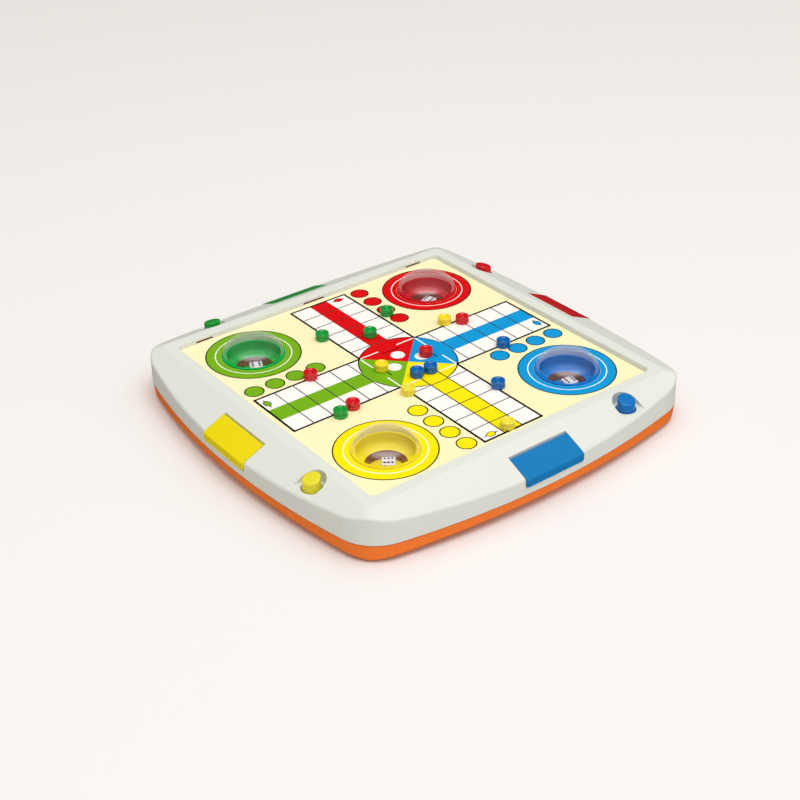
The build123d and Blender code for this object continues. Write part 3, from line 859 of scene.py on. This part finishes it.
@dataclass
class Popper:
    """A dice popper: cup, dome, striker, pad, die, button, spring and lever of one player."""

    cup_place: float = 69.0
    cup_inside: float = 17.2
    cup_wall: float = 1.5
    cup_floor: float = 20.5
    cup_fillet: float = 4.4
    flange_radius: float = 20.0
    flange_top: float = 30.2
    collar_foot: float = 13.4
    panel_top: float = 28.4
    dome_radius: float = 18.9
    dome_shoulder: float = 31.5
    dome_rise: float = 9.8
    dome_wall: float = 1.2
    skirt_depth: float = 0.9
    skirt_play: float = 0.2
    striker_radius: float = 12.0
    striker_play: float = 0.3
    striker_foot: float = 9.6
    striker_lip: float = 0.45
    striker_web: float = 1.2
    boss_radius: float = 3.0
    boss_drop: float = 0.3
    pad_height: float = 15.5
    pad_radius: float = 10.8
    pad_thickness: float = 0.8
    button_place: float = 119.2
    button_radius: float = 5.25
    button_top: float = 31.9
    button_foot: float = 16.1
    top_slope: float = 0.3
    guide_foot: float = 21.4
    guide_radius: float = 7.0
    guide_height: float = 1.5
    spring_seat: float = 5.9
    spring_top: float = 12.4
    spring_radius: float = 2.6
    spring_wire: float = 0.45
    spring_turns: float = 3.5
    squeeze: float = 4.7  # the button's travel, and room for the lever's tilt

    def cup(self) -> Shape:
        """The cup: a round bowl with a collar below and a rounded flange on the board."""
        bore, socket = self.striker_radius + self.striker_play, self.dome_radius + self.skirt_play
        outside, under = self.cup_inside + self.cup_wall, self.cup_floor - self.cup_wall
        seat = self.flange_top - self.skirt_depth
        return lathe(
            rounded(
                [
                    (bore, self.collar_foot, 0),
                    (bore + self.cup_wall, self.collar_foot, 0),
                    (bore + self.cup_wall, under, 0.3),
                    (outside, under, 1.7),
                    (outside, self.panel_top, 0),
                    (self.flange_radius, self.panel_top, 0),
                    (self.flange_radius, self.flange_top, 0.5),
                    (socket, self.flange_top, 0.15),
                    (socket, seat, 0),
                    (self.cup_inside, seat, 0.2),
                    (self.cup_inside, self.cup_floor, self.cup_fillet),
                    (bore, self.cup_floor, 0.2),
                ],
                9,
            ),
            144,
        )

    def dome(self) -> Shape:
        """The dome: an upright wall under half of a flattened ball.

        A point at the angle a from the axis is R sin a out and H cos a above the shoulder, and
        the inner face takes the wall off both R and H.
        """
        angle = np.linspace(0, math.pi / 2, 40)[:, None]
        arc = np.hstack([np.sin(angle), np.cos(angle)])
        outside = arc * (self.dome_radius, self.dome_rise) + (0, self.dome_shoulder)
        size = (self.dome_radius - self.dome_wall, self.dome_rise - self.dome_wall)
        inside = arc[::-1] * size + (0, self.dome_shoulder)
        foot = self.flange_top - self.skirt_depth
        skirt = np.array([[self.dome_radius, foot], [size[0], foot]])
        return lathe(np.vstack([outside, skirt, inside]), 144)

    def striker(self) -> Shape:
        """The striker: a brown piston whose top is a deep dish round the pad."""
        floor = self.pad_height - self.pad_thickness
        web, tip = floor - self.striker_web, self.striker_foot - self.boss_drop
        body = rounded(
            [
                (0.0, tip, 0),
                (self.boss_radius, tip, 0.3),
                (self.boss_radius, web, 0),
                (self.pad_radius, web, 0),
                (self.pad_radius, self.striker_foot, 0.2),
                (self.striker_radius, self.striker_foot, 0.2),
                (self.striker_radius, self.cup_floor, 0.15),
                (self.striker_radius - self.striker_lip, self.cup_floor, 0.15),
                (self.pad_radius, self.pad_height, 0),
                (self.pad_radius, floor, 0),
                (0.0, floor, 0),
            ]
        )
        return lathe(body, 96)

    def button(self) -> Shape:
        """The push button: a round post whose top leans the way that the case slopes.

        The lean is a shear: a point rises by top_slope times its distance towards the middle of
        the case, times how far up the post it is.
        """
        low, high = self.guide_foot + self.guide_height, self.button_top
        post = lathe(
            rounded(
                [
                    (0.0, self.button_foot, 0),
                    (self.boss_radius, self.button_foot, 0.3),
                    (self.boss_radius, self.guide_foot, 0),
                    (self.guide_radius, self.guide_foot, 0.2),
                    (self.guide_radius, low, 0.2),
                    (self.button_radius, low, 0),
                    (self.button_radius, high, 0.9),
                    (0.0, high, 0),
                ],
                7,
            ),
            96,
        )
        share = np.clip((post.points[:, 2] - low) / (high - low), 0, 1)
        post.points[:, 2] += share * self.top_slope * post.points[:, 1]
        return post

    def spring(self) -> Shape:
        """The return spring: wire wound on a helix, with closed ends.

        A point of the wire's middle at the turn t is (R cos t, R sin t, pitch t), and its skin
        is a circle across it, spanned by the outward and the upward direction.
        """
        across = 8
        wire = self.spring_wire / 2
        t = np.linspace(0, 2 * math.pi * self.spring_turns, 120)[:, None]
        a = np.linspace(0, 2 * math.pi, across, endpoint=False)[None]
        low, high = self.spring_seat + wire, self.spring_top - wire
        radius = self.spring_radius - wire + wire * np.cos(a)
        height = low + (high - low) * t / t[-1] + wire * np.sin(a)
        coil = grid(np.stack([radius * np.cos(t), radius * np.sin(t), height], axis=-1), False, True)
        ends = [list(range(across)), list(range(len(coil.points) - across, len(coil.points)))[::-1]]
        return Shape(coil.points, coil.faces + ends, [0] * (len(coil.faces) + 2))

    def placed(self, shape: Shape, distance: float, turn: float) -> Shape:
        """A shape about the origin, put on the axis of the cup or of the button.

        Args:
            shape: the shape.
            distance: of that axis from the middle line of the case.
            turn: the player's turn.

        Returns:
            The shape in its place.
        """
        return shape.moved(self.cup_place, -distance).turned(turn)

    def build(self, player: Player) -> None:
        """Builds and places the pieces of one player.

        Args:
            player: whose corner this is.
        """
        name, turn = player.name, player.turn
        cup = MouldedPlastic(f"gloss_polystyrene_{name}_cup", player.cup, 0.22, depth=0.0, specular=0.12)
        button = MouldedPlastic(f"gloss_abs_{name}_button", player.button, 0.25, depth=0.003)
        pad = MouldedPlastic(f"soft_pvc_{name}_pad", player.cup, 0.55)
        make_piece(
            f"{name}_cup_bowl", self.placed(self.cup(), self.cup_place, turn), [cup], "case",
            (f"{name}_cup",),
        )
        make_piece(
            f"{name}_dome_shell", self.placed(self.dome(), self.cup_place, turn), [Finish.CLEAR], "case",
            (f"{name}_dome",),
        )
        make_piece(
            f"{name}_striker_piston", self.placed(self.striker(), self.cup_place, turn), [Finish.BROWN],
            f"{name}_striker", (f"{name}_striker",),
        )
        dress_node(f"{name}_strike_pad", pad)
        dress_node(f"{name}_lever", Finish.BROWN)
        make_piece(
            f"{name}_push_button", self.placed(self.button(), self.button_place, turn), [button],
            f"{name}_button", (f"{name}_button",),
        )
        spring = make_piece(
            f"{name}_return_spring", self.placed(self.spring(), self.button_place, turn), [Finish.STEEL],
            "case", (f"{name}_spring",),
        )
        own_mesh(spring)
        Die().build(player)


@dataclass
class Die:
    """A die with rounded edges and thin painted discs for its pips."""

    size: float = 8.2
    rounding: float = 1.1
    pip_radius: float = 0.85
    pip_pitch: float = 2.15
    pip_depth: float = 0.04

    def block(self) -> Shape:
        """The block: a cube grid whose points are pulled onto a box with round edges.

        A point p of the cube has its core c, which is p held within the flat middle, and
        becomes c plus the rounding along p - c.
        """
        half, flat = self.size / 2, self.size / 2 - self.rounding
        line = np.concatenate([np.linspace(-half, -flat, 6), [0.0], np.linspace(flat, half, 6)])
        u, v = np.meshgrid(line, line, indexing="ij")
        high = np.full_like(u, half)
        sides = [(u, v, high), (v, u, -high), (high, u, v), (-high, v, u), (v, high, u), (u, -high, v)]
        points = [np.stack(side, axis=-1) for side in sides]
        shapes = []
        for patch in points:
            core = np.clip(patch, -flat, flat)
            out = patch - core
            length = np.linalg.norm(out, axis=-1, keepdims=True)
            shapes.append(grid(core + self.rounding * out / np.maximum(length, TINY)))
        return joined(shapes)

    def pips(self) -> list[tuple[np.ndarray, int]]:
        """The pips of the six faces: the place of each on the cube, and the axis it faces along."""
        half, p = self.size / 2 + self.pip_depth / 2, self.pip_pitch
        corners = [(-p, -p), (p, p), (-p, p), (p, -p)]
        faces = {  # the two axes in the face, the axis across it, the side: the pips in the face
            (0, 1, 2, 1): corners + [(-p, 0), (p, 0)],
            (0, 1, 2, -1): [(0, 0)],
            (0, 2, 1, -1): corners[:2],
            (0, 2, 1, 1): corners + [(0, 0)],
            (1, 2, 0, 1): corners[:2] + [(0, 0)],
            (1, 2, 0, -1): corners,
        }
        spots = []
        for (first, second, normal, sign), places in faces.items():
            for a, b in places:
                spot = np.zeros(3)
                spot[first], spot[second], spot[normal] = a, b, sign * half
                spots.append((spot, normal))
        return spots

    def pip(self, normal: int) -> Shape:
        """A pip: a thin painted disc, square to an axis."""
        disc = lathe(
            rounded(
                [
                    (0.0, -self.pip_depth, 0),
                    (self.pip_radius, -self.pip_depth, 0),
                    (self.pip_radius, self.pip_depth / 2, 0),
                    (0.0, self.pip_depth / 2, 0),
                ]
            ),
            24,
        )
        order = {0: [2, 0, 1], 1: [1, 2, 0], 2: [0, 1, 2]}[normal]
        return Shape(disc.points[:, order], disc.faces, disc.paint)

    def build(self, player: Player) -> None:
        """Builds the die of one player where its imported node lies."""
        name = f"{player.name}_die"
        place = middle(name)
        block = self.block()
        pips = joined([self.pip(normal).moved(*spot) for spot, normal in self.pips()])
        turned = [shape.turned(player.die_yaw).moved(*place) for shape in (block, pips)]
        make_piece(f"{name}_block", turned[0], [Finish.DIE], name, (name,))
        make_piece(f"{name}_pips", turned[1], [Finish.PIP], name)


@dataclass
class Lid:
    """The flip-up lid of a token pocket: a bent plate with a lip over the side of the case.

    The plate leans as the rim does and reaches a little past the hinge, which leaves only a
    narrow slot in the rim behind it.
    """

    half: float = 21.3
    hinge: float = 119.9
    front: float = 134.4
    wall: float = 1.5
    lip_foot: float = 17.0
    slope: float = 0.44
    barrel_radius: float = 1.5
    pin_radius: float = 0.8
    pin_reach: float = 23.5
    lip_corner: float = 1.6
    bend: float = 0.9
    overhang: float = 0.8
    rounding: float = 0.3
    steps: int = 8  # points on the bend, and on the corner of the lip
    columns: int = 9

    def bent_lines(self, height: float) -> tuple[np.ndarray, np.ndarray]:
        """The outer and the inner line of the plate, from its upper edge down to the lip's foot.

        With the lean a, the barrel's radius r and the overhang s, the upper edge is
        s cos a - r sin a inwards of the hinge's axis and s sin a + r cos a above it.

        Args:
            height: of the hinge's axis.

        Returns:
            Two lines of (y, z) points, with as many points each.
        """
        lean = math.atan(self.slope)
        crest = height + self.barrel_radius / math.cos(lean) - self.slope * (self.front - self.hinge)
        edge = self.overhang * math.cos(lean) - self.barrel_radius * math.sin(lean) - self.hinge
        top = self.overhang * math.sin(lean) + self.barrel_radius * math.cos(lean) + height
        back, drop = self.wall - self.front, self.wall * (1 - self.slope)
        outer = [(edge, top, 0), (-self.front, crest, self.bend), (-self.front, self.lip_foot, 0)]
        low_edge, low_bend = top - self.wall / 2, self.bend / 2
        inner = [(edge, low_edge, 0), (back, crest - drop, low_bend), (back, self.lip_foot, 0)]
        return rounded(outer, self.steps), rounded(inner, self.steps)

    def sheet(self, line: np.ndarray) -> np.ndarray:
        """One face of the plate as a grid: a row for each step down its line.

        In the corner of the lip, whose radius is r, a row at the angle a lies r sin a below the
        corner's start and is r (1 - cos a) shorter at each end.

        Args:
            line: [n, 2] of y and z.

        Returns:
            [rows, columns, 3].
        """
        angle = np.linspace(0, math.pi / 2, self.steps)
        height = self.lip_foot + self.lip_corner * (1 - np.sin(angle))
        corner = np.stack([np.full(self.steps, line[-1, 0]), height], axis=-1)
        rows = np.vstack([line[:-1], corner])
        half = np.full(len(rows), self.half)
        half[-self.steps :] -= self.lip_corner * (1 - np.cos(angle))
        x = np.linspace(-1, 1, self.columns) * half[:, None]
        return np.stack([x, *(np.repeat(rows[:, k : k + 1], self.columns, 1) for k in (0, 1))], axis=-1)

    def rolls(self, height: float) -> Shape:
        """The barrel of the hinge and its pin, which stands out at both ends."""
        sizes = ((self.barrel_radius, self.half), (self.pin_radius, self.pin_reach))
        return joined([bar(circle(radius, 32, -self.hinge, height), reach) for radius, reach in sizes])

    def build(self, player: Player) -> None:
        """Builds the lid of one player.

        Args:
            player: whose corner this is.
        """
        name, slot = f"{player.name}_lid", f"{player.name}_plastic"
        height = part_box(name)[1].z / MM - self.barrel_radius
        finish = MouldedPlastic(f"gloss_abs_{name}", player.lid, 0.24, depth=0.003)
        bent = slab(*(self.sheet(line) for line in self.bent_lines(height))).turned(player.turn)
        make_piece(f"{name}_plate", bent, [finish], name, (name,), bevel=self.rounding)
        rolls = self.rolls(height).turned(player.turn)
        make_piece(f"{name}_hinge_roll", rolls, [finish], name)


def slab(outer: np.ndarray, inner: np.ndarray) -> Shape:
    """A closed plate between two grids of points that face each other.

    Args:
        outer: [rows, columns, 3].
        inner: the same size.

    Returns:
        Both faces and the four narrow sides between them.
    """
    rows, columns = outer.shape[:2]
    count = rows * columns
    top, under = grid(outer), grid(inner)
    number = np.arange(count).reshape(rows, columns)
    rim = np.concatenate([number[0, :-1], number[:-1, -1], number[-1, :0:-1], number[:0:-1, 0]])
    after = np.roll(rim, -1)
    sides = np.stack([rim, after, after + count, rim + count], axis=-1).tolist()
    faces = top.faces + [[count + corner for corner in face[::-1]] for face in under.faces] + sides
    return Shape(np.vstack([top.points, under.points]), faces, [0] * len(faces))


@dataclass
class Token:
    """A playing piece: a low drum with a waist and a dished top."""

    radius: float = 4.3
    height: float = 5.0
    waist_low: float = 2.1
    waist_high: float = 2.75
    waist_depth: float = 0.45
    waist_slope: float = 0.15
    rim_width: float = 1.2
    dish_slope: float = 0.5
    dish_depth: float = 0.7
    knob_foot: float = 1.6
    knob_radius: float = 1.3
    knob_depth: float = 0.25
    pale: tuple[str, ...] = ("yellow_token_3", "yellow_token_4")

    def drum(self) -> Shape:
        """The drum, standing on the origin."""
        r, h, waist = self.radius, self.height, self.radius - self.waist_depth
        dish, knob = h - self.dish_depth, h - self.knob_depth
        return lathe(
            rounded(
                [
                    (0.0, 0.0, 0),
                    (r, 0.0, 0.45),
                    (r, self.waist_low, 0.3),
                    (waist, self.waist_low + self.waist_slope, 0.15),
                    (waist, self.waist_high - self.waist_slope, 0.15),
                    (r, self.waist_high, 0.3),
                    (r, h, 0.6),
                    (r - self.rim_width, h, 0.3),
                    (r - self.rim_width - self.dish_slope, dish, 0.25),
                    (self.knob_foot, dish, 0.2),
                    (self.knob_radius, knob, 0.2),
                    (0.0, knob, 0),
                ]
            ),
            64,
        )

    def build(self, player: Player) -> None:
        """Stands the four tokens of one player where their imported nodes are."""
        solid = MouldedPlastic(f"gloss_polystyrene_{player.name}_token", player.token, 0.22, depth=0.0)
        for number in range(1, 5):
            name = f"{player.name}_token_{number}"
            low, high = (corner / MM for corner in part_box(name))
            shape = self.drum().moved((low.x + high.x) / 2, (low.y + high.y) / 2, low.z)
            finish = Finish.MILKY if name in self.pale else solid
            make_piece(f"{name}_drum", shape, [finish], name, (name,))


# ------------------------------------------------------------------ studio
@dataclass(frozen=True)
class Lamp:
    """A rectangular lamp that points at the object.

    Its power is in watts, and its width, height and place are in metres. A lamp that isn't
    mirrored lights colours only, and one that doesn't fill is seen in polished faces only.
    """

    name: str
    power: float
    size: tuple[float, float]
    place: tuple[float, float, float]
    mirrored: bool = True
    fills: bool = True

    def hang(self) -> None:
        """Puts the lamp into the scene."""
        light = bpy.data.lights.new(self.name, "AREA")
        light.shape = "RECTANGLE"
        light.energy = self.power
        light.size, light.size_y = self.size
        lamp = bpy.data.objects.new(self.name, light)
        lamp.location = self.place
        lamp.rotation_euler = (-Vector(self.place)).to_track_quat("-Z", "Y").to_euler()
        lamp.visible_glossy = self.mirrored
        lamp.visible_diffuse = self.fills
        bpy.context.scene.collection.objects.link(lamp)


@dataclass
class Studio:
    """Floor, lamps, sky and camera."""

    azimuth: float = 53.419
    elevation: float = 31.761
    roll: float = -1.4797
    distance: float = 856.01
    across: float = -5.027
    up: float = -23.756
    target_height: float = 29.2
    lens: float = 62.376
    sensor: float = 36.0
    clip: tuple[float, float] = (0.05, 20.0)  # metres
    floor_colour: str = "#EBEDEE"
    sky_axis: tuple[float, float, float] = (0.22, 0.09, 0.97)
    sky_edge: float = -0.24
    sky_power: float = 1.16
    sky_mirrored: float = 0.09
    sky_warm: str = "#FFD3A0"
    floor_half: float = 3000.0
    key: Lamp = Lamp("key", 16.0, (1.2, 1.2), (0.6, -0.1, 2.0), mirrored=False)
    softbox: Lamp = Lamp("softbox", 48.0, (3.0, 1.1), (0.93, -0.69, 1.87), fills=False)

    def floor(self) -> None:
        """A pale floor under the object, which a camera below it sees through.

        Polished faces don't mirror it, so that saturated plastics keep their colour.
        """
        near, far = -self.floor_half, self.floor_half
        ground = grid(np.array([[[near, near, 0], [far, near, 0]], [[near, far, 0], [far, far, 0]]]))
        mesh = bpy.data.meshes.new("floor")
        mesh.from_pydata((ground.points * MM).tolist(), [], ground.faces)
        floor = bpy.data.objects.new("floor", mesh)
        bpy.context.scene.collection.objects.link(floor)
        material, tree = new_material("studio_paper")
        paper = add_node(tree, "BsdfPrincipled", Base_Color=linear(self.floor_colour), Roughness=0.9)
        clear = add_node(tree, "BsdfTransparent")
        back = add_node(tree, "NewGeometry").outputs["Backfacing"]
        both = add_node(tree, "MixShader", i0=back, i1=paper.outputs[0], i2=clear.outputs[0])
        add_node(tree, "OutputMaterial", Surface=both.outputs[0])
        mesh.materials.append(material)
        floor.visible_glossy = False

    def sky(self) -> None:
        """A soft sky, brightest and white along sky_axis, and dark and warm on the far side of it.

        A direction d shines with sky_power times t, where t rises from 0 to 1 as the cosine
        between d and sky_axis rises from sky_edge to 1. Polished faces mirror it at sky_mirrored
        of that.
        """
        world = bpy.data.worlds.new("studio_sky")
        world.use_nodes = True
        bpy.context.scene.world = world
        tree = world.node_tree
        tree.nodes.clear()
        way = add_node(tree, "TexCoord").outputs["Generated"]
        axis = Vector(self.sky_axis).normalized()
        along = add_node(tree, "VectorMath", {"operation": "DOT_PRODUCT"}, i0=way, i1=axis)
        t = add_node(tree, "MapRange", Value=along.outputs["Value"], From_Min=self.sky_edge, From_Max=1.0)
        tint = add_node(
            tree, "Mix", {"data_type": "RGBA"}, i0=t.outputs[0], i6=linear(self.sky_warm),
            i7=WHITE_LIGHT,
        )
        ray = add_node(tree, "LightPath")
        full = add_node(
            tree, "MapRange", Value=ray.outputs["Is Glossy Ray"], To_Min=self.sky_power,
            To_Max=self.sky_power * self.sky_mirrored,
        )
        power = add_node(tree, "Math", {"operation": "MULTIPLY"}, i0=t.outputs[0], i1=full.outputs[0])
        sky = add_node(tree, "Background", Color=tint.outputs[2], Strength=power.outputs[0])
        seen = add_node(tree, "Background", Color=WHITE_LIGHT, Strength=1.0)
        both = add_node(
            tree, "MixShader", i0=ray.outputs["Is Camera Ray"], i1=sky.outputs[0], i2=seen.outputs[0]
        )
        add_node(tree, "OutputWorld", Surface=both.outputs[0])

    def camera(self) -> None:
        """The camera, which looks at the middle of the upper board.

        back is the direction from the object to the camera. The camera's own right and up are
        the level ones, rolled about back, and it is shifted sideways along them.
        """
        a, e, roll = (math.radians(v) for v in (self.azimuth, self.elevation, self.roll))
        back = Vector((math.sin(a) * math.cos(e), -math.cos(a) * math.cos(e), math.sin(e)))
        level = Vector((math.cos(a), math.sin(a), 0))
        over = back.cross(level)
        right = math.cos(roll) * level + math.sin(roll) * over
        upward = -math.sin(roll) * level + math.cos(roll) * over
        place = back * self.distance + right * self.across + upward * self.up
        place.z += self.target_height
        data = bpy.data.cameras.new("camera")
        data.lens = self.lens
        data.sensor_width = self.sensor
        data.clip_start, data.clip_end = self.clip
        camera = bpy.data.objects.new("camera", data)
        axes = Matrix((right, upward, back)).transposed()
        camera.matrix_world = Matrix.Translation(place * MM) @ axes.to_4x4()
        bpy.context.scene.collection.objects.link(camera)
        bpy.context.scene.camera = camera

    def build(self) -> None:
        """Sets the stage."""
        self.camera()
        self.floor()
        self.sky()
        self.key.hang()
        self.softbox.hang()
        bpy.context.scene.view_settings.view_transform = "Standard"


def main() -> None:
    """Builds the studio and the object, piece by piece."""
    logging.basicConfig(level=logging.INFO, format="%(name)s %(message)s")
    Studio().build()
    Case().build()
    CrossPrint().build()
    TrackPrint().build()
    for player in [p.value for p in Players]:
        Popper().build(player)
        Lid().build(player)
        Token().build(player)


if __name__ == "__main__":
    main()
